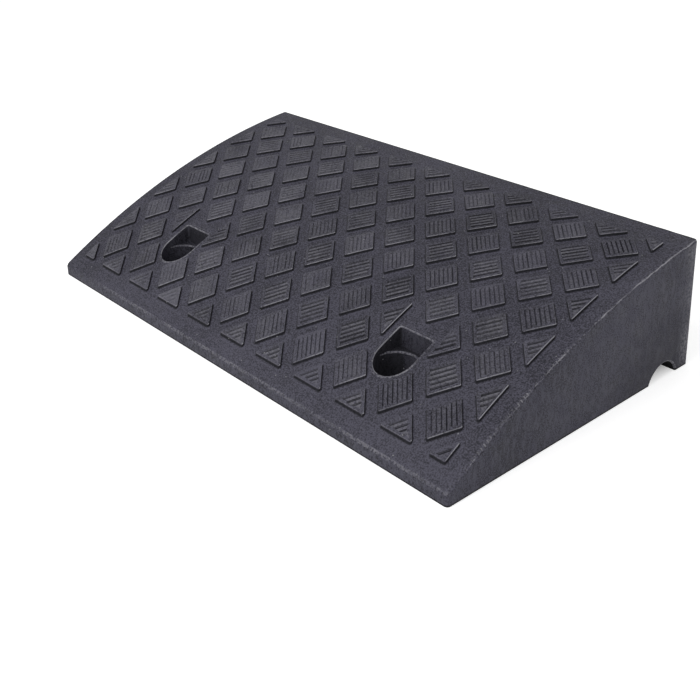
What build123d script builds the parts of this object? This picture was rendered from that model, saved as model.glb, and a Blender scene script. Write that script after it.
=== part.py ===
from build123d import *

import math
import os

# Kerb ramp: a moulded rubber wedge that is bolted to the road in front of a kerb.
# X runs along the kerb, Y from the road to the kerb, Z up. The origin is under the middle of the base.
# All sizes are in millimetres.

# Wedge
length = 500.0
depth = 276.0
height = 108.8
lip_height = 10.3
kerb_lean = 6.0
deck_radius = 640.0
upright_corner_radius = 2.5
deck_edge_radius = 1.5

# Tread: pads that stand on their points, in rows and in half-step rows between them
columns = 10
rows = 5
end_margin = 15.0
front_margin = 13.0
rear_margin = 22.0
pad_gap = 14.0
pad_height = 2.0
border_inset = 1.0

# Bolt wells, each in place of a pad, with a ledge cut uphill of it
bolt_column = 2
bolt_row = 1
well_radius = 17.0
ledge_reach = 21.0
ledge_drop = 16.5
seat_height = 17.0

# Steel inserts at the bolts, bonded into the rubber
bolt_hole_radius = 7.0
sleeve_wall = 2.5
sleeve_recess = 0.5
washer_thickness = 3.0
washer_grip = 3.0

# Drain and cable channel through the base, with a low round arch
channel_width = 36.0
channel_rise = 13.5
channel_setback = 35.0

# Cells that lighten the underside, between the bolt wells and the channel
cell_columns = 6
cell_rows = 2
skin = 20.0
rib = 14.0
end_wall = 24.0
channel_wall = 12.0
well_wall = 10.0
cell_corner_cut = 5.0

# Places that follow from the sizes
front = -depth / 2
back = depth / 2
deck_back = back - kerb_lean
tread_end = length / 2 - end_margin
tread_front = front + front_margin
tread_back = deck_back - rear_margin
pitch_x = 2 * tread_end / columns
pitch_y = (tread_back - tread_front) / rows
bolt_x = (columns / 2 - bolt_column) * pitch_x
bolt_y = tread_front + bolt_row * pitch_y
channel_y = back - channel_setback
channel_radius = ((channel_width / 2) ** 2 + channel_rise**2) / (2 * channel_rise)
sleeve_radius = bolt_hole_radius + sleeve_wall
washer_radius = well_radius + washer_grip
washer_base = seat_height - washer_thickness

# Deck arc from the top of the lip to the top of the kerb face
chord_run = deck_back - front
chord_rise = height - lip_height
chord = math.hypot(chord_run, chord_rise)
arc_drop = math.sqrt(deck_radius**2 - (chord / 2) ** 2)
arc_y = (front + deck_back) / 2 + arc_drop * chord_rise / chord
arc_z = (height + lip_height) / 2 - arc_drop * chord_run / chord


def deck_z(y):
    """Height of the plain deck at a place along Y."""
    return arc_z + math.sqrt(deck_radius**2 - (y - arc_y) ** 2)


def arc_bar(radius):
    """Round bar along X about the deck's centre line."""
    return Pos(0, arc_y, arc_z) * Cylinder(radius, length, rotation=(0, 90, 0))


def wedge():
    """Plain wedge with a leaning kerb face, rounded upright corners and rounded deck edges."""
    middle = (front + deck_back) / 2
    sides = Polyline((front, lip_height), (front, 0), (back, 0), (deck_back, height))
    arc = ThreePointArc((deck_back, height), (middle, deck_z(middle)), (front, lip_height))
    block = extrude(Plane.YZ * make_face([sides, arc]), length / 2, both=True)
    straight = block.edges().filter_by(GeomType.LINE)
    upright = [edge for edge in straight if edge.bounding_box().size.Z > lip_height / 2]
    block = fillet(upright, upright_corner_radius)
    deck = block.faces().filter_by(GeomType.CYLINDER).sort_by(SortBy.AREA)[-1]
    return fillet(deck.edges(), deck_edge_radius)


def pad_face(x, y, keep):
    """Plan of one pad: whole, or only the half towards +X or -X, and cut at the tread's border."""
    reach_x = (pitch_x - pad_gap) / 2
    reach_y = (pitch_y - pad_gap) / 2
    points = [(x - reach_x, y), (x, y - reach_y), (x + reach_x, y), (x, y + reach_y)]
    low_x = max(x if keep > 0 else -length, border_inset - tread_end)
    high_x = min(x if keep < 0 else length, tread_end - border_inset)
    low_y = tread_front + border_inset
    high_y = tread_back - border_inset
    window = Rectangle(high_x - low_x, high_y - low_y)
    window = Pos((low_x + high_x) / 2, (low_y + high_y) / 2) * window
    return (make_face(Polyline(*points, close=True)) & window).face()


def pad_faces():
    """Plans of all pads. A well takes the place of a pad, and beside its ledge stand half pads."""
    faces = []
    for step in range(2 * rows + 1):
        y = tread_front + step / 2 * pitch_y
        odd = step % 2
        for place in range(columns + 1 - odd):
            x = (place + odd / 2 - columns / 2) * pitch_x
            half_steps_from_bolt = round((abs(x) - bolt_x) / (pitch_x / 2))
            in_well = step == 2 * bolt_row and half_steps_from_bolt == 0
            beside_ledge = step == 2 * bolt_row + 1 and abs(half_steps_from_bolt) == 1
            away_from_ledge = half_steps_from_bolt * math.copysign(1, x)
            if not in_well:
                faces.append(pad_face(x, y, away_from_ledge if beside_ledge else 0))
    return faces


def tread():
    """Pads as posts that start inside the wedge and end on an arc above the deck."""
    start = lip_height / 2
    posts = [extrude(Pos(0, 0, start) * face, height) for face in pad_faces()]
    pad_top = arc_bar(deck_radius + pad_height)
    return [post & pad_top for post in posts]


def bolt_well(x):
    """Round well down to the seat washer, with the square-ended ledge uphill of it."""
    ledge_z = deck_z(bolt_y + ledge_reach) - ledge_drop
    well = Pos(x, bolt_y, seat_height) * extrude(Circle(well_radius), height)
    ledge = extrude(Rectangle(2 * well_radius, ledge_reach), height)
    return well + Pos(x, bolt_y + ledge_reach / 2, ledge_z) * ledge


def seat_washer(x):
    """Steel washer, gripped by the rubber round its rim."""
    ring = Circle(washer_radius) - Circle(bolt_hole_radius)
    return Pos(x, bolt_y, washer_base) * extrude(ring, washer_thickness)


def bolt_sleeve(x):
    """Steel tube under the washer, a little short of the base so that the rubber is squeezed first."""
    ring = Circle(sleeve_radius) - Circle(bolt_hole_radius)
    return Pos(x, bolt_y, sleeve_recess) * extrude(ring, washer_base - sleeve_recess)


def insert_room(x):
    """Room in the rubber for one washer and its sleeve."""
    washer_room = Pos(x, bolt_y, washer_base) * extrude(Circle(washer_radius), washer_thickness)
    sleeve_room = Pos(x, bolt_y, 0) * extrude(Circle(sleeve_radius), washer_base)
    return washer_room + sleeve_room


def channel():
    """Arched channel along the whole base."""
    bar = Cylinder(channel_radius, length, rotation=(0, 90, 0))
    return Pos(0, channel_y, channel_rise - channel_radius) * bar


def cells():
    """Cells under the thick part of the deck. The toe and the rubber round the wells stay solid."""
    cells_front = bolt_y + ledge_reach + well_wall
    cells_back = channel_y - channel_width / 2 - channel_wall
    size_x = (length - 2 * end_wall + rib) / cell_columns - rib
    size_y = (cells_back - cells_front + rib) / cell_rows - rib
    plan = chamfer(Rectangle(size_x, size_y).vertices(), cell_corner_cut)
    ceiling = arc_bar(deck_radius - skin)
    found = []
    for row in range(cell_rows):
        y = cells_front + size_y / 2 + row * (size_y + rib)
        for column in range(cell_columns):
            x = (column - (cell_columns - 1) / 2) * (size_x + rib)
            found.append(Pos(x, y, 0) * extrude(plan, height) & ceiling)
    return found


def ramp_body():
    """Moulded rubber wedge with its tread, wells, channel and cells."""
    body = wedge() + tread()
    for x in (-bolt_x, bolt_x):
        body = body - bolt_well(x) - insert_room(x)
    return body - channel() - cells()


pieces = {"ramp_body": ramp_body()}
for side, x in (("left", -bolt_x), ("right", bolt_x)):
    pieces[side + "_seat_washer"] = seat_washer(x)
    pieces[side + "_bolt_sleeve"] = bolt_sleeve(x)

os.makedirs("parts", exist_ok=True)
for name, piece in pieces.items():
    export_step(piece, f"parts/{name}.step")
    print(name, "volume", round(piece.volume / 1000, 2), "cm3")
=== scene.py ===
# %% [markdown]
# A kerb ramp lets wheels climb a kerb. It is one heavy moulding of black rubber: an arched deck with a
# tread of lozenge pads, two wells for the bolts that hold it to the road, and a low arched channel under
# its tall side. Only the washers and sleeves at the two bolt holes are steel.
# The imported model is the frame. It gives the real size and place, so nothing is moved or fitted here. The
# steel pieces are right as they are. The rubber is modelled again, with the rounded edges, hatching and
# flash that a mould leaves.

import math
from collections import namedtuple

import bmesh
import bpy
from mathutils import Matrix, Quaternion, Vector, noise


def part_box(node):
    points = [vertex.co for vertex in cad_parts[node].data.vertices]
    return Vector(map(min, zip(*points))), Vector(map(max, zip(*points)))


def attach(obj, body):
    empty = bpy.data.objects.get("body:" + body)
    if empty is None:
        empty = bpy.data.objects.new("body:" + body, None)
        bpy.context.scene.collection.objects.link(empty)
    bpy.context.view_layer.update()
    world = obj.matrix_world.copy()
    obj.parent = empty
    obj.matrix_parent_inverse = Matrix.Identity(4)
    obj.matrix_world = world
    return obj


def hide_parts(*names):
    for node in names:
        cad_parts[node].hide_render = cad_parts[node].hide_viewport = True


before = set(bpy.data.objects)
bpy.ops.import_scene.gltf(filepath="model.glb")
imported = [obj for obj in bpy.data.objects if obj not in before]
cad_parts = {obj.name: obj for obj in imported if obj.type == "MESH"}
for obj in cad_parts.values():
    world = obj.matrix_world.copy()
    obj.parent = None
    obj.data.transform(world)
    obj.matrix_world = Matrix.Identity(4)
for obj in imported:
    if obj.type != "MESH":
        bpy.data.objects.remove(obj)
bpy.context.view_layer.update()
MM = 0.001
low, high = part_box("ramp_body")
length = (high.x - low.x) / MM
depth = (high.y - low.y) / MM
print("Rubber block along and across the kerb:", round(length, 1), "x", round(depth, 1), "mm")

# %% [markdown]
# The deck is part of a large cylinder that lies along the kerb. It runs from the low lip on the road to
# the top of the kerb face, which leans a little, as the draft of a mould needs. The four sizes here are
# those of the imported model.
# Pads, wells and edges all have to sit on that bend, so a formula for its height at any place is more
# useful than a curve object. From here on sizes are in millimetres. A finished mesh is scaled to metres.

# %% The deck's arc
kerb_height = 108.8
lip_height = 10.3
kerb_lean = 6.0
deck_radius = 640.0

front = -depth / 2
base_back = depth / 2
deck_back = base_back - kerb_lean
run = deck_back - front
rise = kerb_height - lip_height
chord = math.hypot(run, rise)
arc_drop = math.sqrt(deck_radius**2 - (chord / 2) ** 2)
arc_y = (front + deck_back) / 2 + arc_drop * rise / chord
arc_z = (kerb_height + lip_height) / 2 - arc_drop * run / chord


def deck_height(y, lift=0.0):
    """Height of the deck at a place along Y, or of the arc that lies lift outside it."""
    return arc_z + math.sqrt((deck_radius + lift) ** 2 - (y - arc_y) ** 2)


def kerb_face(z):
    """Place along Y of the leaning kerb face at a height."""
    return base_back - kerb_lean * z / kerb_height


heights = [round(deck_height(y), 1) for y in (front, 0, deck_back)]
print("Deck height at the lip, the middle and the kerb:", heights)

# %% [markdown]
# Every rubber mesh below is skinned from rings: closed loops of points, joined by quads as in a loft. An
# outline is a list of places with the direction that points outwards there, so a ring can be drawn in or
# out. Each face also carries three numbers for the rubber's finish: how much it is an edge that is scuffed
# and given a painted highlight, how much painted shade darkens it, and a slight difference in tone.

# %% Helpers for meshes made of rings
def arc(centre_x, centre_y, radius, start, end, steps):
    """Places and outward directions along an arc, in degrees, both ends included."""
    found = []
    for step in range(steps + 1):
        turn = math.radians(start + (end - start) * step / steps)
        way = (math.cos(turn), math.sin(turn))
        found.append((centre_x + radius * way[0], centre_y + radius * way[1], *way))
    return found


def mirrored(outline):
    """The outline on the other side of X = 0, from its end to its start."""
    return [(-x, y, -out_x, out_y) for x, y, out_x, out_y in outline[::-1]]


def add_ring(bm, outline, outset, height, centre=(0.0, 0.0)):
    """The outline as points, drawn out by outset and set round a centre. height gives Z for a Y."""
    ring = []
    for x, y, out_x, out_y in outline:
        place_y = centre[1] + (y + outset * out_y)
        ring.append(bm.verts.new((centre[0] + (x + outset * out_x), place_y, height(place_y))))
    return ring


def strip(bm, first, second):
    """Joins two rows of points with quads and returns the faces. Corners that fall together count once."""
    faces = []
    for here in range(len(first) - 1):
        corners = (first[here], first[here + 1], second[here + 1], second[here])
        faces.append(bm.faces.new(list(dict.fromkeys(corners))))
    return faces


def skin(bm, rings):
    """Joins each ring to the next and returns the faces."""
    closed = [ring + ring[:1] for ring in rings]
    return [face for pair in zip(closed, closed[1:]) for face in strip(bm, *pair)]


def fan(bm, ring, tip):
    """Closes a ring with triangles to one place."""
    point = bm.verts.new(tip)
    for here in range(len(ring)):
        bm.faces.new((ring[here - 1], ring[here], point))


def finish_layers(bm):
    """The three finish numbers of faces, as new layers."""
    return [bm.faces.layers.float.new(name) for name in ("edge", "painted_shade", "tone")]


def set_finish(face, layers, *values):
    """Stores the finish of a face. A number that isn't given stays 0."""
    for layer, value in zip(layers, values):
        face[layer] = value


def make_piece(name, bm, sharp_degrees=38.0):
    """Turns a bmesh in millimetres into an object in metres, smooth apart from its sharp edges."""
    bmesh.ops.recalc_face_normals(bm, faces=bm.faces)
    bmesh.ops.scale(bm, vec=(MM, MM, MM), verts=bm.verts)
    for face in bm.faces:
        face.smooth = True
    for edge in bm.edges:
        edge.smooth = edge.is_manifold and edge.calc_face_angle() < math.radians(sharp_degrees)
    mesh = bpy.data.meshes.new(name)
    bm.to_mesh(mesh)
    bm.free()
    piece = bpy.data.objects.new(name, mesh)
    bpy.context.scene.collection.objects.link(piece)
    print(name, "has", len(mesh.polygons), "faces")
    return piece


# %% [markdown]
# The block is the wedge before anything is cut into it, with round upright corners, a rolled-over deck
# edge, and a slightly rounded foot. A Bevel modifier would have to follow an arched edge into an upright
# one. Rings make the roundings exactly: each is the plan drawn in by a little, at a height that the
# radius gives. One more ring, just above the foot, keeps that rounding low.

# %% The wedge
corner_radius = 3.2
edge_radius = 2.4
foot_radius = 0.8
foot_height = 1.8
flat_margin = 0.5
corner_steps = 6
side_steps = 54
edge_steps = 4


def plan(back):
    """Outline of the wedge, up its right side to the kerb face at back, and down its left side."""
    centre_x = length / 2 - corner_radius
    first_y = front + corner_radius
    last_y = back - corner_radius
    pace = (last_y - first_y) / side_steps
    right = arc(centre_x, first_y, corner_radius, -90, 0, corner_steps)
    right += [(length / 2, first_y + pace * step, 1.0, 0.0) for step in range(1, side_steps)]
    right += arc(centre_x, last_y, corner_radius, 0, 90, corner_steps)
    return right + mirrored(right)


wedge = bmesh.new()
turns = [math.pi / 2 * step / edge_steps for step in range(edge_steps + 1)]
rings = []
for turn in turns:
    foot_z = foot_radius * (1 - math.cos(turn))
    rings.append(add_ring(wedge, plan(base_back), foot_radius * (math.sin(turn) - 1), lambda y: foot_z))
rings.append(add_ring(wedge, plan(kerb_face(foot_height)), 0.0, lambda y: foot_height))
for turn in turns:
    drop = edge_radius * (1 - math.sin(turn))
    outset = edge_radius * (math.cos(turn) - 1)
    rings.append(add_ring(wedge, plan(deck_back), outset, lambda y: deck_height(y) - drop))
rings.append(add_ring(wedge, plan(deck_back), -edge_radius - flat_margin, deck_height))
skin(wedge, rings)
wedge.faces.new(rings[0][::-1])
half = len(rings[-1]) // 2
strip(wedge, rings[-1][:half], rings[-1][half:][::-1])
block = make_piece("ramp_block", wedge)

# %% [markdown]
# Three kinds of hollow are cut from the block: the bolt wells, the channel and the cells under the deck.
# In the real mould steel cores make them. Here a Boolean modifier cuts them with core-shaped meshes.
# A Bevel after a Boolean often tears, so the cores themselves flare at the mouth like a trumpet, and what
# they leave is already a rounded lip. A core can also end in a narrow flat rim, as round the wells.

# %% The flared mouth of a core
mouth_overrun = 1.6
mouth_turns = [math.radians(angle) for angle in (0, 19, 38, 57, 75)]


def mouth(radius, rim=0.0):
    """Outset and rise of the rings of a flared mouth, of its rim if any, and of one above the rubber."""
    pairs = [(radius * (1 - math.cos(turn)), radius * (math.sin(turn) - 1)) for turn in mouth_turns]
    outset, climb = pairs[-1]
    lean = mouth_turns[-1]
    if rim:
        outset += rim
        pairs.append((outset, climb))
    return pairs + [(outset + mouth_overrun * math.sin(lean), climb + mouth_overrun * math.cos(lean))]


print("Mouth rings:", len(mouth_turns) + 1)

# %% [markdown]
# Each bolt well stands in place of one pad. It is a round hole that a socket can reach into, with a
# square-ended ledge uphill of it, so that the socket doesn't foul the rising deck. The bolt's washer lies
# at the bottom, held by its rim in the rubber, above the sleeve that carries the load to the road.
# The core is two outlines that share their front half: a circle below, and a square-backed arch above.

# %% The cores of the bolt wells
washer_low, washer_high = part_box("right_seat_washer")
sleeve_low, sleeve_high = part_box("right_bolt_sleeve")
bolt_x = (washer_low.x + washer_high.x) / 2 / MM
bolt_y = (washer_low.y + washer_high.y) / 2 / MM
washer_radius = (washer_high.x - washer_low.x) / 2 / MM
sleeve_radius = (sleeve_high.x - sleeve_low.x) / 2 / MM
seat_z = washer_high.z / MM
washer_z = washer_low.z / MM
well_radius = 17.0
ledge_reach = 21.0
ledge_drop = 16.5
ledge_corner = 2.0
ledge_lip = 1.2
ledge_corner_steps = 5
ledge_side_steps = 7
ledge_back_steps = 8
well_mouth = 0.9
well_rim = 1.3
front_fall = 9.0
arc_steps = 28

side = well_radius - ledge_corner
top = ledge_reach - ledge_corner
right = [(well_radius, top * step / ledge_side_steps, 1.0, 0.0) for step in range(1, ledge_side_steps)]
right += arc(side, top, ledge_corner, 0, 90, ledge_corner_steps)
shares = [1 - 2 * step / ledge_back_steps for step in range(1, ledge_back_steps)]
ledge = right + [(side * share, ledge_reach, 0.0, 1.0) for share in shares] + mirrored(right)
ledge_z = deck_height(bolt_y + ledge_reach) - ledge_drop
front_half = arc(0, 0, well_radius, 180, 360, arc_steps)
circle_back = arc(0, 0, well_radius, 0, 180, len(ledge) + 1)[1:-1]
circle = front_half + circle_back
lathe = [(sleeve_radius, -foot_radius), (sleeve_radius, washer_z), (washer_radius, washer_z),
         (washer_radius, seat_z), (well_radius, seat_z)]
cores = bmesh.new()


def split_height(y):
    """Height at which the circle meets the arch."""
    return ledge_z + min(y - bolt_y, 0) / well_radius * front_fall


def add_well(centre):
    """Core of one well, from the sleeve's hole up through the deck."""

    def ring(outline, outset, height):
        return add_ring(cores, outline, outset, height, centre)

    rings = [ring(circle, radius - well_radius, lambda y: z) for radius, z in lathe]
    rings.append(ring(circle, 0, lambda y: split_height(y) - ledge_lip))
    shared = ring(front_half, 0, split_height)
    hole_back = ring(circle_back, ledge_lip, split_height)
    arch_back = ring(ledge, 0, split_height)
    skin(cores, rings + [shared + hole_back])
    inner, outer = [[shared[-1], *row, shared[0]] for row in (hole_back, arch_back)]
    strip(cores, inner, outer)
    upper = [shared + arch_back]
    for outset, climb in mouth(well_mouth, well_rim):
        upper.append(ring(front_half + ledge, outset, lambda y: deck_height(y) + climb))
    skin(cores, upper)
    fan(cores, upper[-1], (*centre, deck_height(bolt_y) + 2 * mouth_overrun))
    fan(cores, rings[0], (*centre, -2 * foot_radius))


add_well((-bolt_x, bolt_y))
add_well((bolt_x, bolt_y))
print("Wells", round(bolt_x, 1), "mm to the left and right of the middle")

# %% [markdown]
# The channel is a low arched tunnel along the kerb side, for rain water or a cable. Its core is a round
# bar that lies partly below the base, drawn as rings along X, and it widens at both ends.

# %% The core of the channel
channel_width = 36.0
channel_rise = 13.5
channel_setback = 35.0
channel_y = base_back - channel_setback
channel_radius = ((channel_width / 2) ** 2 + channel_rise**2) / (2 * channel_rise)
channel_z = channel_rise - channel_radius
channel_steps = 48
channel_mouth = 1.6

end = [(length / 2 + climb, channel_radius + outset) for outset, climb in mouth(channel_mouth)]
stations = [(-x, radius) for x, radius in end[::-1]] + end
rings = []
for x, radius in stations:
    section = arc(channel_y, channel_z, radius, 0, 360, channel_steps)[:-1]
    rings.append([cores.verts.new((x, y, z)) for y, z, _, _ in section])
skin(cores, rings)
for number in (0, -1):
    fan(cores, rings[number], (stations[number][0], channel_y, channel_z))
print("Channel axis", round(channel_y, 1), "mm behind the middle")

# %% [markdown]
# Under the thick part of the deck, cells save weight and let the block cure evenly. They can't be seen in
# use, so their cores are simple round-cornered boxes that taper, with a ceiling that follows the deck.

# %% The cores of the cells
cell_columns = 6
cell_rows = 2
deck_skin = 20.0
rib = 14.0
end_wall = 24.0
channel_wall = 12.0
well_wall = 10.0
cell_corner = 5.0
cell_corner_steps = 4
cell_taper = 0.8

cells_front = bolt_y + ledge_reach + well_wall
cells_back = channel_y - channel_width / 2 - channel_wall
size_x = (length - 2 * end_wall + rib) / cell_columns - rib
size_y = (cells_back - cells_front + rib) / cell_rows - rib
x = size_x / 2 - cell_corner
y = size_y / 2 - cell_corner
right = arc(x, -y, cell_corner, -90, 0, cell_corner_steps)
right += arc(x, y, cell_corner, 0, 90, cell_corner_steps)
outline = right + mirrored(right)
levels = [(foot_radius, lambda y: -foot_radius), (0.0, lambda y: foot_radius),
          (-cell_taper, lambda y: deck_height(y, -deck_skin))]
for row in range(cell_rows):
    middle_y = cells_front + size_y / 2 + row * (size_y + rib)
    for column in range(cell_columns):
        centre = ((column - (cell_columns - 1) / 2) * (size_x + rib), middle_y)
        rings = [add_ring(cores, outline, outset, height, centre) for outset, height in levels]
        skin(cores, rings)
        fan(cores, rings[0], (*centre, -foot_radius))
        fan(cores, rings[-1], (*centre, deck_height(middle_y, -deck_skin)))
print("Cells:", cell_columns * cell_rows)

# %% [markdown]
# Now the cores are pulled through the block. The result is read from the evaluated object, so no modifier
# is left on it. Counting open edges shows whether the cut is clean.

# %% Cut the block
core_piece = make_piece("ramp_cores", cores)
cut = block.modifiers.new("cores", "BOOLEAN")
cut.operation = "DIFFERENCE"
cut.solver = "EXACT"
cut.object = core_piece
graph = bpy.context.evaluated_depsgraph_get()
carved = bpy.data.meshes.new_from_object(block.evaluated_get(graph))
for spare in (block, core_piece):
    spare_mesh = spare.data
    bpy.data.objects.remove(spare)
    bpy.data.meshes.remove(spare_mesh)
body = bmesh.new()
body.from_mesh(carved)
bpy.data.meshes.remove(carved)
bmesh.ops.scale(body, vec=(1 / MM,) * 3, verts=body.verts)
print("Open edges after the cut:", sum(not edge.is_manifold for edge in body.edges))

# %% [markdown]
# Painting the finish by hand would be lost at the next change, so each face is asked where it lies.
# Edges are scuffed pale, and a painted highlight is added where they catch the light: a narrow line along
# the lip, the crest of the deck's edge at the right end, the mouths of the wells and the channel, and the
# ledge lips in the wells. A soft scuffed band runs beside the kerb's upright corners. The flat rim of a
# well has its scuff and painted highlight mostly towards the road and the right end. Behind the lip the
# deck is a little paler.

# %% Scuffs, painted highlights and the paler band behind the lip
# A paler band on the deck behind the lip, fading out at the left end
lip_paleness = 0.6
paleness_reach = 45.0
paleness_fade = 90.0
# Painted highlight, mixed with scuffs, on the wells' flat rims, the lip line and the right end's crest
rim_scuff_and_highlight = 2.3
rim_highlight_all_round, rim_highlight_to_right, rim_highlight_to_road = 0.15, 0.75, 0.45
edge_zone = 4.0
crest_highlight_tilts = (0.4, 0.9)
lip_highlight_tilts = (0.4, 0.7)
lip_rub_and_highlight = 1.57
right_end_rub_and_highlight = 0.5
off_crest_highlight = 0.3
# Painted shade on the deck's edge along the kerb and at the left end
far_edge_shade = 0.75


def clamp(value, most=1.0):
    """The value, kept between 0 and most."""
    return max(0.0, min(most, value))


def lip_paleness_at(x, y):
    """Paler tone of the deck near the lip. It fades out at the left end."""
    return lip_paleness * clamp(1 - (y - front) / paleness_reach) * clamp((x + length / 2) / paleness_fade)


def plan_gap(x, y, z):
    """How far a place lies inside the outline of the plan at its height."""
    over_x = abs(x) - length / 2 + corner_radius
    over_y = max(y - kerb_face(z), front - y) + corner_radius
    if over_x > 0 and over_y > 0:
        return corner_radius - math.hypot(over_x, over_y)
    return corner_radius - max(over_x, over_y)


def well_gap(x, y):
    """How far a place lies outside the arch of the nearest well."""
    across = abs(abs(x) - bolt_x)
    along = y - bolt_y
    if along < 0:
        return math.hypot(across, along) - well_radius
    return max(across - well_radius, along - ledge_reach)


def rim_finish(x, y):
    """Edge and shade of a well's flat rim: a scuff and painted highlight, most to the road and the right.
    """
    across = (x - math.copysign(bolt_x, x)) / well_radius
    along = (y - bolt_y) / well_radius
    share = rim_highlight_all_round + rim_highlight_to_right * across - rim_highlight_to_road * along
    return rim_scuff_and_highlight * clamp(share), 0.0


def deck_edge_finish(x, y, tilt):
    """The rolled deck edge: painted highlight and scuff at the lip and right end, painted shade elsewhere.
    """
    if y > deck_back - edge_zone or x < edge_zone - length / 2:
        return 0.0, far_edge_shade
    if y < front + edge_zone:
        return lip_rub_and_highlight * (lip_highlight_tilts[0] < tilt < lip_highlight_tilts[1]), 0.0
    crest = 1.0 if crest_highlight_tilts[0] < tilt < crest_highlight_tilts[1] else off_crest_highlight
    return crest * (right_end_rub_and_highlight + (y - front) / run), 0.0


print("Dust at the middle of the lip:", lip_paleness_at(0.0, front))

# %% [markdown]
# Painted shade darkens the foot, the deck's far edges, the wells, the channel and the cells, and makes the
# upright front a little darker than the deck. The first question that fits a face decides, so their order
# matters.

# %% Paint the highlights, scuffs and shade of the body
touching = 0.5
outer_layer = 1.0
off_ground = 0.1
same_direction = 0.9995
facing = 0.9
facing_ground = -0.98
facing_end = 0.25
ledge_lip_tilts = (0.3, 0.95)
mouth_slack = 0.1
# Painted highlight with scuffs round the wells' mouths; painted highlight on ledge lips and channel mouths
mouth_scuff_and_highlight = 2.2
ledge_lip_highlight = 1.5
channel_mouth_highlight = 2.2
corner_scuff = 2.4
left_corner_share = 0.25
corner_strip = 20.0
# Painted shade on the foot, in the cells, on the upright front, and in the wells and the channel
foot_shade = 0.75
cell_shade = 0.45
front_shade = 0.08
# Left well, right well: their painted shade differs because the light falls on them differently
ledge_shades = (0.68, 0.4)
well_shades = (0.38, 0.72)


def finish_of(face):
    """Edge and painted-shade values of a face of the body."""
    x, y, z = face.calc_center_median()
    normal = face.normal
    to_road = normal.y < -facing
    under = deck_height(y) - z
    slope = (y - arc_y) / deck_radius
    deck_normal = Vector((0, slope, math.sqrt(1 - slope**2)))
    inside = plan_gap(x, y, z)
    from_well = well_gap(x, y)
    from_channel = math.hypot(y - channel_y, z - channel_z) - channel_radius
    if inside < edge_radius + flat_margin and under < edge_radius:
        return deck_edge_finish(x, y, normal.z)
    if normal.dot(deck_normal) > same_direction and under < touching:
        return rim_finish(x, y) if from_well < well_mouth + well_rim else (0.0, 0.0)
    if z < foot_height and inside < 2 * foot_radius and normal.z > facing_ground:
        return 0.0, foot_shade
    if under < well_mouth + mouth_slack and from_well > -touching:
        return mouth_scuff_and_highlight * (1 + max(0.0, normal.x)), 0.0
    if from_well < touching and ledge_lip_tilts[0] < normal.z < ledge_lip_tilts[1]:
        return ledge_lip_highlight, 0.0
    if from_well < touching:
        return 0.0, (ledge_shades if to_road else well_shades)[x > 0]
    if length / 2 - abs(x) < channel_mouth and -touching < from_channel < 2 * channel_mouth:
        return channel_mouth_highlight, 0.0
    if from_channel < touching:
        return 0.0, 1.0
    from_kerb = kerb_face(z) - y
    if inside < outer_layer and abs(normal.x) > facing_end and from_kerb < corner_strip:
        share = 1.0 if x > 0 else left_corner_share
        return corner_scuff * share * (1 - from_kerb / corner_strip), 0.0
    if inside > outer_layer and z > off_ground:
        return 0.0, cell_shade
    return 0.0, front_shade if to_road else 0.0


body.normal_update()
body_layers = finish_layers(body)
for face in body.faces:
    tone = lip_paleness_at(*face.calc_center_median()[:2]) if face.normal.z > 0.5 else 0.0
    set_finish(face, body_layers, *finish_of(face), tone)
ramp_body = make_piece("rubber_body", body)
flat_shading = ramp_body.modifiers.new("flat_shading", "WEIGHTED_NORMAL")
flat_shading.keep_sharp = True

# %% [markdown]
# The tread has lozenge pads in rows, and in half-step rows between them. Each pad is a low block with
# nearly sharp corners and a hatch of short grooves. On the whole rows the hatch runs one way, and on the
# half-step rows the other way. At the tread's border, and beside the ledge of a well, pads are cut off.
# A well takes the place of a pad.

# %% Outlines of the pads
tread_margin_end = 15.0
tread_margin_front = 13.0
tread_margin_back = 22.0
columns = 10
rows = 5
pitch_x = (length - 2 * tread_margin_end) / columns
tread_front = front + tread_margin_front
tread_back = deck_back - tread_margin_back
pitch_y = (tread_back - tread_front) / rows
pad_gap = 14.0
pad_corner = 0.45
pad_corner_steps = 3
border_inset = 1.0
bolt_row = 1
shortest_side = 0.001


def clip(points, axis, limit, sign):
    """The part of a convex outline on one side of a line across an axis."""
    kept = []
    for here, point in enumerate(points):
        last = points[here - 1]
        inside = sign * (point[axis] - limit) <= 0
        was_inside = sign * (last[axis] - limit) <= 0
        if inside != was_inside:
            share = (limit - last[axis]) / (point[axis] - last[axis])
            kept.append(last.lerp(point, share))
        if inside:
            kept.append(point)
    return [point for here, point in enumerate(kept) if (point - kept[here - 1]).length > shortest_side]


def pad_outline(x, y, keep):
    """Plan of a pad: whole, or only its half towards +X or -X, and cut at the tread's border."""
    reach_x = (pitch_x - pad_gap) / 2
    reach_y = (pitch_y - pad_gap) / 2
    ways = ((-reach_x, 0), (0, -reach_y), (reach_x, 0), (0, reach_y))
    points = [Vector((x, y)) + Vector(way) for way in ways]
    border_x = length / 2 - tread_margin_end - border_inset
    borders = [(0, border_x, 1), (0, -border_x, -1),
               (1, tread_front + border_inset, -1), (1, tread_back - border_inset, 1)]
    if keep:
        borders.append((0, x, -keep))
    for border in borders:
        points = clip(points, *border)
    return points


def round_corners(points):
    """The outline with an arc at each corner."""
    found = []
    for here, corner in enumerate(points):
        before = (points[here - 1] - corner).normalized()
        after = (points[(here + 1) % len(points)] - corner).normalized()
        half = before.angle(after) / 2
        reach = pad_corner / math.tan(half)
        centre = corner + (before + after).normalized() * pad_corner / math.sin(half)
        start = corner + before * reach - centre
        end = corner + after * reach - centre
        for step in range(pad_corner_steps + 1):
            found.append(centre + start.lerp(end, step / pad_corner_steps).normalized() * pad_corner)
    return found


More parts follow.
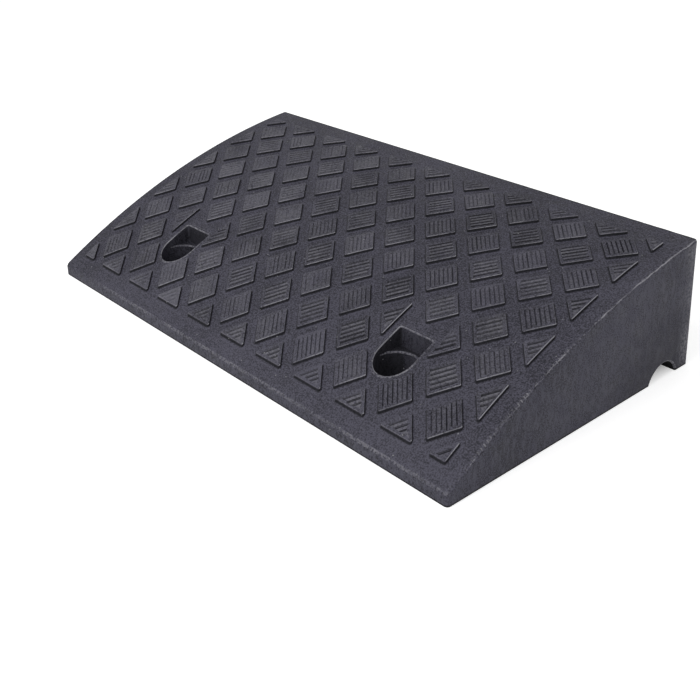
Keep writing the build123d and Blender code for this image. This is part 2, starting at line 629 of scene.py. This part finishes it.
pad_plans = []
for step in range(2 * rows + 1):
    y = tread_front + step / 2 * pitch_y
    odd = step % 2
    for place in range(columns + 1 - odd):
        x = (place + odd / 2 - columns / 2) * pitch_x
        from_bolt = round((abs(x) - bolt_x) / (pitch_x / 2))
        beside_ledge = step == 2 * bolt_row + 1 and abs(from_bolt) == 1
        keep = math.copysign(from_bolt, from_bolt * x) if beside_ledge else 0
        falling = odd and not beside_ledge
        hatch = Vector((1, -1 if falling else 1)).normalized()
        if step != 2 * bolt_row or from_bolt != 0:
            pad_plans.append((Vector((x, y)), hatch, round_corners(pad_outline(x, y, keep))))
print("Pads:", len(pad_plans))

# %% [markdown]
# A bump texture would look printed from close by, so the grooves are cut into the mesh. Seen along its own
# hatch every pad is a stack of lines across it. A line knows where it meets the pad's outline, and whether
# it lies on a ridge or in a groove, so one function does for whole, half and quarter pads.
# On the real tread, pads towards the left came out faint, with a speckled top. The rising hatch has wide
# grooves that are crisp almost everywhere, with ridges between them that are rubbed and given a painted
# highlight. The falling hatch has narrow, fainter ones that are only crisp near the right end. Groove
# floors get painted shade. So each pad takes its depth and tone from its direction, its place, and a noise
# there, which is always the same, so renders repeat.

# %% The lines and grooves of a pad
Hatch = namedtuple("Hatch", "grooves pitch width shade crisp_from crisp_to least_depth speckle rub")
Pad = namedtuple("Pad", "centre hatch side kind middles crispness depth tone")
rising_hatch = Hatch(5, 4.0, 2.0, 1.5, -210.0, 40.0, 1.0, 0.42, 0.42)
falling_hatch = Hatch(6, 3.35, 1.2, 0.75, -120.0, 210.0, 0.9, 0.3, 0.16)
groove_slope = 0.45
groove_margin = 1.7
least_margin = 0.7
widest_margin = 0.45
groove_depths = (0.36, 1.3)
least_groove = 0.5
line_gap = 0.02
tiny = 1e-6
place_weight = 0.6
chance_scale = 0.31
crisp_seed = 3.7
groove_seeds = (1.9, 5.3, 8.7)
groove_seed_step = 11.3
tone_seed = 9.1
tone_scale = 0.17


def across(outline, v):
    """Left and right end of the outline on the line at v."""
    ends = []
    for here, point in enumerate(outline):
        last = outline[here - 1]
        if min(last.y, point.y) - tiny <= v <= max(last.y, point.y) + tiny:
            span = point.y - last.y
            if abs(span) > tiny:
                ends.append(last.x + (point.x - last.x) * (v - last.y) / span)
            else:
                ends += [last.x, point.x]
    return min(ends), max(ends)


def share_of(value, start, end):
    """How far a value is on its way from start to end, from 0 to 1."""
    return clamp((value - start) / (end - start))


def chance(*seeds):
    """A number from 0 to 1 that is always the same for the same seeds."""
    return clamp(0.5 + noise.noise(Vector(seeds) * chance_scale))


def pad_at(centre, hatch):
    """What the top of a pad is like at a place and with a direction of its hatch."""
    side = Vector((-hatch.y, hatch.x))
    kind = rising_hatch if hatch.y > 0 else falling_hatch
    middles = [(number - (kind.grooves - 1) / 2) * kind.pitch for number in range(kind.grooves)]
    to_crisp = share_of(centre.x, kind.crisp_from, kind.crisp_to)
    crispness = place_weight * to_crisp + (1 - place_weight) * chance(*centre, crisp_seed)
    pad_depth = groove_depths[0] + (groove_depths[1] - groove_depths[0]) * crispness
    pad_depth *= kind.least_depth + (1 - kind.least_depth) * to_crisp
    tone = noise.noise(Vector((*centre, tone_seed)) * tone_scale) + lip_paleness_at(*centre)
    return Pad(centre, hatch, side, kind, middles, crispness, pad_depth, tone)


def hatch_lines(pad, outline):
    """Places across the hatch at which the pad's top needs a line."""
    lines = [point.y for point in outline]
    lowest, highest = min(lines), max(lines)
    half = pad.kind.width / 2
    for middle in pad.middles:
        lines += [middle - half, middle - half + groove_slope, middle + half - groove_slope, middle + half]
    lines = sorted(line for line in lines if lowest <= line <= highest)
    return [line for here, line in enumerate(lines) if here == 0 or line - lines[here - 1] > line_gap]


def groove_at(pad, v):
    """How far into a groove a line lies, how deep that groove is, and the margins at its two ends."""
    number = min(range(len(pad.middles)), key=lambda place: abs(v - pad.middles[place]))
    state = clamp((pad.kind.width / 2 - abs(v - pad.middles[number])) / groove_slope)
    seed_x = pad.centre.x + groove_seed_step * number
    luck = [chance(seed_x, pad.centre.y, seed) for seed in groove_seeds]
    margins = [groove_margin * (least_margin + share) for share in luck[1:]]
    return state, pad.depth * (least_groove + (1 - least_groove) * luck[0]), margins


print("Grooves of the two kinds of pad:", rising_hatch.grooves, "and", falling_hatch.grooves)

# %% [markdown]
# One pad is built from its top down. The lines across the hatch make the top, with grooves that have
# sloping walls and stop short of the pad's edge. Round it come rings: a rolled-over edge, a nearly upright
# wall, and a small fillet at its foot, both darkened by painted shade. The next rings carry a pale fringe
# on the deck, strongest where the edge's highlight is, and the last one lies inside the rubber. A pad's
# edge is scuffed pale and given a painted highlight, most where it faces down the slope, and hardest where
# it faces the ramp's right end.

# %% Tread pads
pad_height = 2.0
pad_sink = 1.0
pad_roll = 0.5
narrowest = 1e-4
shallowest = 0.02
slope_shade = 0.5
darkest = 0.97
# Outset, height, scuff and painted highlight, and painted shade of the rings down a pad's side;
# then outset, height and pale fringe
pad_rings = [(0.2, -0.04, 0.5, 0.0), (0.4, -0.17, 1.0, 0.0), (0.5, -0.42, 0.3, 0.25),
             (0.54, -0.62, 0.0, 0.6), (0.62, -1.82, 0.0, 0.84), (0.8, -1.93, 0.0, 0.84),
             (1.25, -1.95, 0.0, 0.5)]
fringe_rings = [(1.9, -1.95, 0.0), (3.3, -1.95, 0.9), (3.3, -pad_height - pad_sink, 0.0)]
# Painted highlight with scuffs on the pads' edges: most facing down the slope and towards the right end
rub_and_highlight_range = (-210.0, 40.0)
rim_rubs_and_highlights = (1.5, 0.75)
least_rub_and_highlight = 0.4
downhill_highlight = 0.3
end_highlight_gain = 8.5
end_narrowness = 6

tread = bmesh.new()
tread_layers = finish_layers(tread)


def add_point(pad, u, v, h):
    """A point at u along the hatch and v across it, h above the pads' height."""
    place = pad.centre + pad.hatch * u + pad.side * v
    return tread.verts.new((place.x, place.y, deck_height(place.y, pad_height + h)))


def add_line(pad, outline, v):
    """The six points of a line across the hatch, and how deep its groove is, beside its place."""
    left, right = across(outline, v)
    state, groove_depth, margins = groove_at(pad, v)
    if state < shallowest or right - left < sum(margins) + 2 * pad.kind.width:
        state = 0.0
    margins = [min(margin, (right - left) * widest_margin) for margin in margins]
    start = left + margins[0]
    end = right - margins[1]
    slope = groove_slope * state
    floor_h = -groove_depth * state
    spots = [(left, 0), (start, 0), (start + slope, floor_h), (end - slope, floor_h), (end, 0), (right, 0)]
    if right - left < narrowest:
        spots = spots[:1] * 6
    points = {spot: add_point(pad, spot[0], v, spot[1]) for spot in dict.fromkeys(spots)}
    return v, [points[spot] for spot in spots], state * groove_depth / groove_depths[1]


def add_top(pad, outline):
    """The hatched top of a pad. Returns the points round it."""
    found = [add_line(pad, outline, v) for v in hatch_lines(pad, outline)]
    for (v, line, share), (next_v, next_line, next_share) in zip(found, found[1:]):
        between = pad.middles[0] < (v + next_v) / 2 < pad.middles[-1]
        deepest = max(share, next_share)
        for here in range(5):
            deep = here == 2 and min(share, next_share) > shallowest
            sloping = here in (1, 2, 3) and deepest > shallowest
            # Painted shade in the grooves; a painted highlight on the ridges and speckle over the top
            shade = pad.kind.shade * deepest * (1.0 if deep else slope_shade if sloping else 0.0)
            rub = pad.kind.rub * pad.crispness if here == 2 and between and not sloping else 0.0
            rub += pad.kind.speckle * (1 - pad.crispness)
            corners = dict.fromkeys(line[here:here + 2] + next_line[here:here + 2][::-1])
            if len(corners) > 2:
                set_finish(tread.faces.new(corners), tread_layers, rub, min(darkest, shade), pad.tone)
    lines = [line for _, line, _ in found]
    loop = lines[0] + [line[-1] for line in lines[1:-1]] + lines[-1][::-1]
    return list(dict.fromkeys(loop + [line[0] for line in lines[-2:0:-1]]))


def add_sides(pad, loop):
    """The rings round the top of a pad, down to the deck, and its closed underside."""
    offsets = [Vector(point.co[:2]) - pad.centre for point in loop]
    flat = [Vector((offset.dot(pad.hatch), offset.dot(pad.side))) for offset in offsets]
    to_right = share_of(pad.centre.x, *rub_and_highlight_range)
    rim_rub_and_highlight = rim_rubs_and_highlights[0] + (rim_rubs_and_highlights[1] - rim_rubs_and_highlights[0]) * to_right
    outs, exposed, to_end = [], [], []
    for here in range(len(flat)):
        along = flat[(here + 1) % len(flat)] - flat[here - 1]
        out = Vector((along.y, -along.x)).normalized()
        way = pad.hatch * out.x + pad.side * out.y
        outs.append(out)
        exposed.append(least_rub_and_highlight + downhill_highlight * max(0.0, way.x - way.y) ** 2)
        to_end.append(max(0.0, way.x) ** end_narrowness * to_right)
    rings = []
    for outset, height, edge, painted_shade in pad_rings:
        # Painted highlight and scuff on the rolled edge; painted shade on the wall and the fillet
        rubs_and_highlights = [edge * rim_rub_and_highlight * rim * (1 + end_highlight_gain * end) for rim, end in zip(exposed, to_end)]
        rings.append((outset, height, [(rub, painted_shade, pad.tone) for rub in rubs_and_highlights]))
    # A pale fringe on the deck, strongest where the edge's highlight is
    for outset, height, paleness in fringe_rings:
        rings.append((outset, height, [(0.0, 0.0, lip_paleness_at(*pad.centre) + paleness * rim) for rim in exposed]))
    for outset, height, finishes in rings:
        ring = [add_point(pad, *(point + out * outset), height) for point, out in zip(flat, outs)]
        for face, finish in zip(skin(tread, [loop, ring]), finishes):
            set_finish(face, tread_layers, *finish)
        loop = ring
    tread.faces.new(loop[::-1])


for centre, hatch, corners in pad_plans:
    pad = pad_at(centre, hatch)
    outline = [Vector(((point - centre).dot(hatch), (point - centre).dot(pad.side))) for point in corners]
    shrink = pad_roll / max(abs(point.x) for point in outline)
    middle = sum(outline, Vector((0, 0))) / len(outline)
    add_sides(pad, add_top(pad, [middle + (point - middle) * (1 - shrink) for point in outline]))
tread_pads = make_piece("tread_pads", tread, sharp_degrees=50.0)

# %% [markdown]
# Where the two halves of the mould meet, a little rubber squeezes out and is trimmed by hand. What stays
# is a thin, uneven, paler line along the deck's edges, most of it on the right end, towards the kerb. It
# is a ridge with a triangular section here, whose height follows a noise, and it keeps inside the corner
# that the rolled edge leaves free.

# %% Flash along the deck's edges
flash_step = 0.9
flash_width = 1.9
flash_thinnest = 0.35
flash_height = 0.22
flash_sink = 0.3
flash_scuff = 1.6
flash_most = 0.82
flash_everywhere = 0.15
flash_at_right = 0.3
flash_to_kerb = 0.6
slow_noise, slow_scale = 0.2, 0.045
quick_noise, quick_scale, quick_shift = 0.35, 0.4, Vector((5, 0, 2))
sway, sway_scale, sway_shift = 0.4, 0.12, Vector((0, 7, 0))
up = Vector((0, 0, 1))

# Places once round the deck's edge, with the directions out of it and over it
edge_spots = []
lean = math.sqrt(0.5)
inset = edge_radius * (1 - lean)
loop = plan(deck_back)
for (x, y, *way), (next_x, next_y, *next_way) in zip(loop, loop[1:] + loop[:1]):
    steps = max(1, round(math.hypot(next_x - x, next_y - y) / flash_step))
    for share in [step / steps for step in range(steps)]:
        out = Vector((*way, 0)).lerp(Vector((*next_way, 0)), share).normalized()
        place_x = x + (next_x - x) * share - out.x * inset
        place_y = y + (next_y - y) * share - out.y * inset
        place = Vector((place_x, place_y, deck_height(place_y) - inset))
        edge_spots.append((place, (out + up) * lean, (up - out) * lean))

flash = bmesh.new()
flash_layers = finish_layers(flash)
flash_rings = []
flash_amounts = []
for place, out, over in edge_spots:
    to_right = (place.x / length + 0.5) ** 2
    to_kerb = (place.y - front) / run
    left_over = flash_everywhere + to_right * (flash_at_right + flash_to_kerb * to_kerb)
    slow = noise.noise(place * slow_scale) * slow_noise
    quick = noise.noise(place * quick_scale + quick_shift)
    amount = clamp(left_over + slow + quick_noise * quick, flash_most)
    half = flash_width / 2 * (flash_thinnest + (1 - flash_thinnest) * amount)
    shift = over * sway * noise.noise(place * sway_scale + sway_shift)
    spots = [place - over * half - out * flash_sink, place + over * half - out * flash_sink,
             place + out * (flash_height * amount - flash_sink * (1 - amount))]
    flash_rings.append([flash.verts.new(spot + shift) for spot in spots])
    flash_amounts.append(amount)
for number, face in enumerate(skin(flash, flash_rings + flash_rings[:1])):
    set_finish(face, flash_layers, flash_scuff * flash_amounts[number // 3] ** 2)
print("Places on the edge:", len(edge_spots))

# %% [markdown]
# On the lower part of the right end, the cutter that shaped the mould left groups of small ticks across
# the edge. Each is a short ridge of triangular sections that bends round the rolled edge and sinks into it
# at both ends. They join the flash in one piece.

# %% Ticks on the right end's edge
tick_every = 3
tick_angles = [math.radians(angle) for angle in (-25, -12, 4, 20, 34, 44)]
tick_lifts = (-0.4, 0.7, 1.0, 1.0, 0.7, -0.4)
tick_width = 1.5
tick_height = 0.26
tick_scuff = 0.7
faintest_tick = 0.15
ticks_middle = 0.27
ticks_reach = 0.26
group_middle, group_noise, group_scale = 0.55, 1.6, 0.09

ticks = 0
for place, out, over in edge_spots[::tick_every]:
    to_kerb = (place.y - front) / run
    lower_part = clamp(2 - 2 * abs(to_kerb - ticks_middle) / ticks_reach)
    amount = lower_part * clamp(group_middle + group_noise * noise.noise(place * group_scale))
    if amount <= faintest_tick or place.x <= length / 2 - edge_radius:
        continue
    ticks += 1
    centre = place - out * edge_radius
    side = out.cross(over) * tick_width / 2
    rings = []
    for angle, lift in zip(tick_angles, tick_lifts):
        way = out * math.cos(angle) + over * math.sin(angle)
        foot = centre + way * (edge_radius - flash_sink)
        crest = centre + way * (edge_radius + tick_height * lift * amount)
        rings.append([flash.verts.new(spot) for spot in (foot - side, foot + side, crest)])
    for face in skin(flash, rings) + [flash.faces.new(rings[0]), flash.faces.new(rings[-1])]:
        set_finish(face, flash_layers, tick_scuff * amount)
print("Ticks:", ticks)
mould_flash = make_piece("mould_flash", flash)

# %% [markdown]
# The finish is made of a few effects that several materials share: a mottle from the mould's surface,
# scuffs and painted highlights on edges, and grit. Each is a node group, so it is described once. Short
# helpers keep the node code readable: they feed sockets, add a node, do a sum, stretch a range, make a
# noise, or start a group.

# %% Helpers for shader nodes
def feed(tree, sockets, inputs):
    """Gives each named socket a value, or the socket of another node that feeds it."""
    for key, value in inputs.items():
        if isinstance(value, bpy.types.NodeSocket):
            tree.links.new(value, sockets[key])
        else:
            sockets[key].default_value = value


def node(tree, kind, inputs=None, **settings):
    """Adds a node with its settings and inputs."""
    made = tree.nodes.new(kind)
    for name, value in settings.items():
        setattr(made, name, value)
    feed(tree, made.inputs, inputs or {})
    return made


def calc(tree, operation, *values):
    """Result of a Math node."""
    return node(tree, "ShaderNodeMath", dict(enumerate(values)), operation=operation).outputs[0]


def times(tree, first, second):
    """Product of two values."""
    return calc(tree, "MULTIPLY", first, second)


def spread(tree, value, start, end, low=0.0, high=1.0):
    """Stretches a value from the range start to end to the range low to high, and keeps it there."""
    inputs = {"Value": value, "From Min": start, "From Max": end, "To Min": low, "To Max": high}
    return node(tree, "ShaderNodeMapRange", inputs).outputs[0]


def object_place(tree):
    """The place on the object, in metres."""
    return node(tree, "ShaderNodeTexCoord").outputs["Object"]


def part_of(tree, vector, axis):
    """One coordinate of a vector."""
    return node(tree, "ShaderNodeSeparateXYZ", {0: vector}).outputs[axis]


def grain(tree, place, scale, detail):
    """A noise with features of about 1 / scale metres."""
    inputs = {"Vector": place, "Scale": scale, "Detail": detail}
    return node(tree, "ShaderNodeTexNoise", inputs).outputs[0]


def start_group(name, inputs, outputs):
    """New node group with plain number sockets: its tree, what comes in and what goes out."""
    tree = bpy.data.node_groups.new(name, "ShaderNodeTree")
    for way, labels in (("INPUT", inputs), ("OUTPUT", outputs)):
        for label in labels:
            tree.interface.new_socket(label, in_out=way, socket_type="NodeSocketFloat")
    return tree, tree.nodes.new("NodeGroupInput").outputs, tree.nodes.new("NodeGroupOutput").inputs


# %% [markdown]
# Moulded rubber is matt and a little blotchy. There are clouds a hand wide where the sheet flowed,
# blotches of a centimetre, and a grain of a millimetre or less that the mould's steel leaves. The same
# noises drive colour, roughness and relief, because on the real thing a pale blotch is also a rougher one.

# %% Node group: mottled surface
tree, _, results = start_group("rubber_mottle", (), ("Tone", "Roughness", "Height"))
place = object_place(tree)
clouds = grain(tree, place, 14.0, 3.0)
blotches = grain(tree, place, 90.0, 2.0)
fine = grain(tree, place, 880.0, 2.0)
pores = grain(tree, place, 1600.0, 2.0)
slow = calc(tree, "ADD", times(tree, clouds, 0.16), times(tree, blotches, 0.14))
tone = calc(tree, "ADD", slow, times(tree, fine, 0.7))
relief = calc(tree, "ADD", times(tree, fine, 0.65), times(tree, pores, 0.35))
feed(tree, results, {"Tone": spread(tree, tone, 0.416, 0.596), "Height": relief,
                     "Roughness": spread(tree, blotches, 0.3, 0.7, 0.52, 0.7)})
mottle_group = tree
print("Node group", tree.name)

# %% [markdown]
# Edges of black rubber turn grey where boots and other ramps rub them, and the same grey is painted on as
# a highlight where edges catch the light. The marks aren't a clean line: the edge value that the mesh
# carries is cut up by a noise of about two millimetres, and a slower noise makes them patchy. A fill value
# closes the gaps, and so does a high edge value, for hard rubbing and strong highlights.

# %% Node group: scuffed and highlit edges
tree, given, results = start_group("scuffed_and_highlit_edges", ("Edge", "Fill"), ("Mask",))
place = object_place(tree)
gap_fill = calc(tree, "ADD", given["Fill"], times(tree, given["Edge"], 0.06))
broken = spread(tree, calc(tree, "ADD", grain(tree, place, 480.0, 3.0), gap_fill), 0.48, 0.68)
patchy = spread(tree, grain(tree, place, 32.0, 2.0), 0.32, 0.6, 0.25, 1.0)
feed(tree, results, {"Mask": times(tree, times(tree, broken, patchy), given["Edge"])})
scuff_and_highlight_group = tree
print("Node group", tree.name)

# %% [markdown]
# A few pale grains of dust and cured crumb sit on every moulding. A cell texture scatters them: each cell
# has one point, and only the cells with the highest random value show it.

# %% Node group: specks of grit
def cell_texture(tree, scale):
    """Distance to the nearest of many scattered points, and a random number for each point."""
    cells = node(tree, "ShaderNodeTexVoronoi", {"Vector": object_place(tree), "Scale": scale}).outputs
    lot = node(tree, "ShaderNodeSeparateColor", {0: cells["Color"]}).outputs[0]
    return cells["Distance"], lot


tree, _, results = start_group("grit_specks", (), ("Mask",))
away, lot = cell_texture(tree, 330.0)
dot = spread(tree, away, 0.2, 0.11)
feed(tree, results, {"Mask": times(tree, dot, spread(tree, lot, 0.965, 0.97))})
grit_group = tree
print("Node group", tree.name)

# %% [markdown]
# All rubber comes from one recipe: a charcoal that wanders between two tones, nearly black painted shade in
# hollows, grey scuffs that also serve as painted highlights, and specks. Carbon black has a faint violet
# cast, so blue is a little above red and green.
# The body adds two marks on its upright sides. Being drawn out of the steel left slightly slanted streaks:
# a noise that is stretched and turned. And the rubber round the channel's mouths is darker, less so away
# from them. On the body, the scuffs, the painted highlights and the paler band behind the lip fade out
# towards the left end.

# %% The body's streaks, its darkening by the channel, and the fade at its left end
streak_scale = (330.0, 330.0, 150.0)
streak_slant = (0.4, 0.0, 0.0)
darkening_reach = 60.0
left_fade_span = (-248.0, -165.0)


def upright_marks(tree):
    """Masks of the drag streaks and of the darkening by the channel, both on upright sides only."""
    coords = node(tree, "ShaderNodeTexCoord").outputs
    tilt = calc(tree, "ABSOLUTE", part_of(tree, coords["Normal"], 2))
    upright = spread(tree, tilt, 0.4, 0.2)
    stretch = {"Vector": coords["Object"], "Scale": streak_scale, "Rotation": streak_slant}
    drawn_out = node(tree, "ShaderNodeMapping", stretch).outputs[0]
    streaks = spread(tree, grain(tree, drawn_out, 1.0, 4.0), 0.45, 0.65)
    # The rubber round the channel's mouths is made darker, less so further out
    axis = (0.0, channel_y * MM, channel_z * MM)
    flatten = {"Vector": coords["Object"], "Scale": (0.0, 1.0, 1.0)}
    section = node(tree, "ShaderNodeMapping", flatten).outputs[0]
    away = node(tree, "ShaderNodeVectorMath", {0: section, 1: axis}, operation="DISTANCE")
    darkening_end = (channel_radius + darkening_reach) * MM
    channel_darkening = spread(tree, away.outputs["Value"], darkening_end, channel_radius * MM)
    return times(tree, streaks, upright), times(tree, channel_darkening, upright)


def left_end_fade(tree):
    """1 over most of the ramp, falling to 0 at its left end."""
    return spread(tree, part_of(tree, object_place(tree), 0), *(x * MM for x in left_fade_span))


print("Marks of wheels fade in over", left_fade_span[1] - left_fade_span[0], "mm at the left")

# %% [markdown]
# The recipe blends one colour over another, from the moulded surface to the specks, each by its mask. The
# noises that colour the surface also lift it a little, through a Bump node.

# %% Rubber materials
# The scuff colour also paints highlights, and the near-black colour paints shade into hollows
scuff_and_highlight_colour = (0.3, 0.295, 0.325, 1.0)
painted_shade_colour = (0.006, 0.006, 0.007, 1.0)
speck_colour = (0.36, 0.36, 0.37, 1.0)
streak_colour = (0.084, 0.083, 0.107, 1.0)
rubber_tones = ((0.018, 0.0175, 0.024, 1.0), (0.08, 0.0775, 0.103, 1.0))
tone_share = 0.35
streak_share = 0.7
channel_darkening_share = 0.62
speck_share = 0.6
relief_depth = 0.0003
rubber_relief = 0.6
rubber_gloss = 0.15


def new_material(name):
    """A material with nodes: itself, its tree and the inputs of its shader."""
    material = bpy.data.materials.new(name)
    material.use_nodes = True
    return material, material.node_tree, material.node_tree.nodes["Principled BSDF"].inputs


def blend_colour(tree, share, first, second):
    """Colour between two colours."""
    made = node(tree, "ShaderNodeMix", {0: share, 6: first, 7: second}, data_type="RGBA")
    return made.outputs[2]


def group_node(tree, group, inputs=None):
    """A node that uses a node group."""
    return node(tree, "ShaderNodeGroup", inputs, node_tree=group).outputs


def face_value(tree, name):
    """A number that the mesh carries on each face."""
    return node(tree, "ShaderNodeAttribute", attribute_name=name).outputs["Fac"]


def raised(tree, height, strength):
    """Normal of a surface with a slight relief."""
    bump = {"Height": height, "Strength": strength, "Distance": relief_depth}
    return node(tree, "ShaderNodeBump", bump).outputs[0]


def make_rubber(name, scuff_and_highlight_share, gap_fill, is_body=False):
    """Material for one rubber piece."""
    material, tree, shader = new_material(name)
    surface = group_node(tree, mottle_group)
    painted_shade = face_value(tree, "painted_shade")
    # On the body, scuffs, painted highlights and the paler lip band fade out at the left end
    left_fade = left_end_fade(tree) if is_body else 1.0
    edge = times(tree, face_value(tree, "edge"), left_fade)
    shift = times(tree, times(tree, face_value(tree, "tone"), tone_share), left_fade)
    colour = blend_colour(tree, calc(tree, "ADD", surface["Tone"], shift), *rubber_tones)
    if is_body:
        streaks, channel_darkening = upright_marks(tree)
        colour = blend_colour(tree, times(tree, streaks, streak_share), colour, streak_colour)
        colour = blend_colour(tree, times(tree, channel_darkening, channel_darkening_share), colour, rubber_tones[0])
    # Painted shade, then scuffs and painted highlights, then specks
    colour = blend_colour(tree, painted_shade, colour, painted_shade_colour)
    scuffs_and_highlights = group_node(tree, scuff_and_highlight_group, {"Edge": edge, "Fill": gap_fill})["Mask"]
    colour = blend_colour(tree, times(tree, scuffs_and_highlights, scuff_and_highlight_share), colour, scuff_and_highlight_colour)
    specks = group_node(tree, grit_group)["Mask"]
    colour = blend_colour(tree, times(tree, specks, speck_share), colour, speck_colour)
    feed(tree, shader, {"Base Color": colour, "Specular IOR Level": rubber_gloss,
                        "Roughness": calc(tree, "MAXIMUM", surface["Roughness"], painted_shade),
                        "Normal": raised(tree, surface["Height"], rubber_relief)})
    return material


deck_rubber = make_rubber("deck_rubber", scuff_and_highlight_share=0.28, gap_fill=0.0, is_body=True)
tread_rubber = make_rubber("tread_rubber", scuff_and_highlight_share=0.65, gap_fill=0.15)
flash_rubber = make_rubber("flash_rubber", scuff_and_highlight_share=1.0, gap_fill=0.14)
for piece, material in ((ramp_body, deck_rubber), (tread_pads, tread_rubber), (mould_flash, flash_rubber)):
    piece.data.materials.append(material)
    print(piece.name, "takes", material.name)

# %% [markdown]
# The washers and sleeves are punched and cut from steel, then zinc plated. Zinc is duller than chrome and
# shows small crystals, so a cell texture shifts its tone, and the shared mottle gives it a slightly
# uneven gloss. Their shapes are right as they come from the frame. Only their materials change.

# %% Zinc-plated steel
zinc_tones = ((0.42, 0.43, 0.45, 1.0), (0.62, 0.63, 0.65, 1.0))
zinc_roughness = (0.48, 0.34)
zinc_relief = 0.25
crystal_share = 0.4
mottle_share = 0.6

zinc_plate, tree, shader = new_material("zinc_plate")
_, crystals = cell_texture(tree, 420.0)
surface = group_node(tree, mottle_group)
mottle = times(tree, surface["Tone"], mottle_share)
tone = calc(tree, "ADD", times(tree, crystals, crystal_share), mottle)
feed(tree, shader, {"Base Color": blend_colour(tree, tone, *zinc_tones), "Metallic": 1.0,
                    "Roughness": spread(tree, tone, 0.0, 1.0, *zinc_roughness),
                    "Normal": raised(tree, surface["Height"], zinc_relief)})
for name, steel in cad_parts.items():
    if name != "ramp_body":
        for slot in steel.material_slots:
            slot.material = zinc_plate
        print(name, "takes", zinc_plate.name)

# %% [markdown]
# The three rubber pieces are one moulding. They stand for the one rubber node of the frame and move with
# it.

# %% Tie the rubber to the frame
for piece in (ramp_body, tread_pads, mould_flash):
    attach(piece, "root")
    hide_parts("ramp_body")
    print(piece.name, "stands for ramp_body")

# %% [markdown]
# The camera looks down on the deck from the road side, past the right-hand end. The lattice of pads is
# regular, so where its crossings fall in a picture gives the direction, distance and lens together. The
# picture is a crop from a larger one, so its middle isn't where the lens points. A shifted sensor does
# the same.

# %% Camera
azimuth = math.radians(47.62)
elevation = math.radians(23.07)
roll = -0.0072
target = Vector((5.0, 21.0, 52.5)) * MM
distance = 0.9057
picture = 700.0
focal_pixels = 1047.5
centre_pixels = (369.8, 254.5)

level = math.cos(elevation)
back = Vector((math.sin(azimuth) * level, -math.cos(azimuth) * level, math.sin(elevation)))
lens = bpy.data.cameras.new("camera")
lens.sensor_width = 36.0
lens.lens = focal_pixels / picture * lens.sensor_width
lens.shift_x = (picture / 2 - centre_pixels[0]) / picture
lens.shift_y = (centre_pixels[1] - picture / 2) / picture
camera = bpy.data.objects.new("camera", lens)
camera.location = target + back * distance
camera.rotation_mode = "QUATERNION"
camera.rotation_quaternion = (-back).to_track_quat("-Z", "Y") @ Quaternion((0, 0, 1), roll)
bpy.context.scene.collection.objects.link(camera)
bpy.context.scene.camera = camera
print("Camera with a", round(lens.lens, 1), "mm lens at", [round(value, 3) for value in camera.location])

# %% [markdown]
# Black rubber shows its shape only through light. A large softbox stands above the road in front of the
# ramp. It lights the deck evenly and leaves the walls of pads and wells dark. A weaker one at the right
# opens the end face, and the white room fills the rest.

# %% Lights
lit_place = Vector((0, 0, 0.05))
# Name, place, size and power
softboxes = [("key_softbox", Vector((-0.1, -1.2, 1.15)), 1.3, 15.5),
             ("end_softbox", Vector((1.9, -0.3, 0.8)), 1.2, 5.0)]
for name, place, size, power in softboxes:
    light = bpy.data.lights.new(name, "AREA")
    light.size = size
    light.energy = power
    lamp = bpy.data.objects.new(name, light)
    lamp.location = place
    lamp.rotation_euler = (lit_place - place).to_track_quat("-Z", "Y").to_euler()
    bpy.context.scene.collection.objects.link(lamp)
    print(name, "of", power, "W")

# %% [markdown]
# The room is white for the camera and for reflections, and a grey of under half that for the light it
# gives. The floor is pale and matt. A little glow lifts its lit part to white, so that just the soft
# shadow is left of it. Only the camera and reflections see the glow, and there is none under the ramp.

# %% Room and floor
WHITE = (1.0, 1.0, 1.0, 1.0)
room_light = 0.4
floor_tones = ((0.82, 0.82, 0.82, 1.0), (0.86, 0.86, 0.86, 1.0))
floor_roughness = 0.9
floor_glow = 0.62
floor_reach = 6.0
floor_squares = 8
dark_reach = 20.0


def seen_rays(tree):
    """1 for rays from the camera, straight or by gloss or glass, and 0 for all others."""
    path = node(tree, "ShaderNodeLightPath").outputs
    mirrored_rays = calc(tree, "ADD", path["Is Glossy Ray"], path["Is Transmission Ray"])
    return calc(tree, "MINIMUM", calc(tree, "ADD", path["Is Camera Ray"], mirrored_rays), 1.0)


world = bpy.data.worlds.new("white_room")
bpy.context.scene.world = world
world.use_nodes = True
strength = spread(world.node_tree, seen_rays(world.node_tree), 0.0, 1.0, room_light, 1.0)
background = world.node_tree.nodes["Background"].inputs
feed(world.node_tree, background, {"Color": WHITE, "Strength": strength})

paper, tree, shader = new_material("floor_paper")
place = object_place(tree)
under_ramp = []
for axis, half in ((0, length / 2), (1, depth / 2)):
    off_middle = calc(tree, "ABSOLUTE", part_of(tree, place, axis))
    under_ramp.append(spread(tree, off_middle, half * MM, (half - dark_reach) * MM))
open_floor = calc(tree, "SUBTRACT", 1.0, times(tree, *under_ramp))
seen_floor = times(tree, seen_rays(tree), open_floor)
feed(tree, shader, {"Base Color": blend_colour(tree, grain(tree, place, 25.0, 3.0), *floor_tones),
                    "Emission Strength": times(tree, seen_floor, floor_glow),
                    "Emission Color": WHITE, "Roughness": floor_roughness})

ground = bmesh.new()
bmesh.ops.create_grid(ground, x_segments=floor_squares, y_segments=floor_squares, size=floor_reach)
floor_mesh = bpy.data.meshes.new("floor")
ground.to_mesh(floor_mesh)
ground.free()
floor = bpy.data.objects.new("floor", floor_mesh)
floor.data.materials.append(paper)
bpy.context.scene.collection.objects.link(floor)
bpy.context.scene.view_settings.view_transform = "Standard"
print("Floor of", 2 * floor_reach, "m")
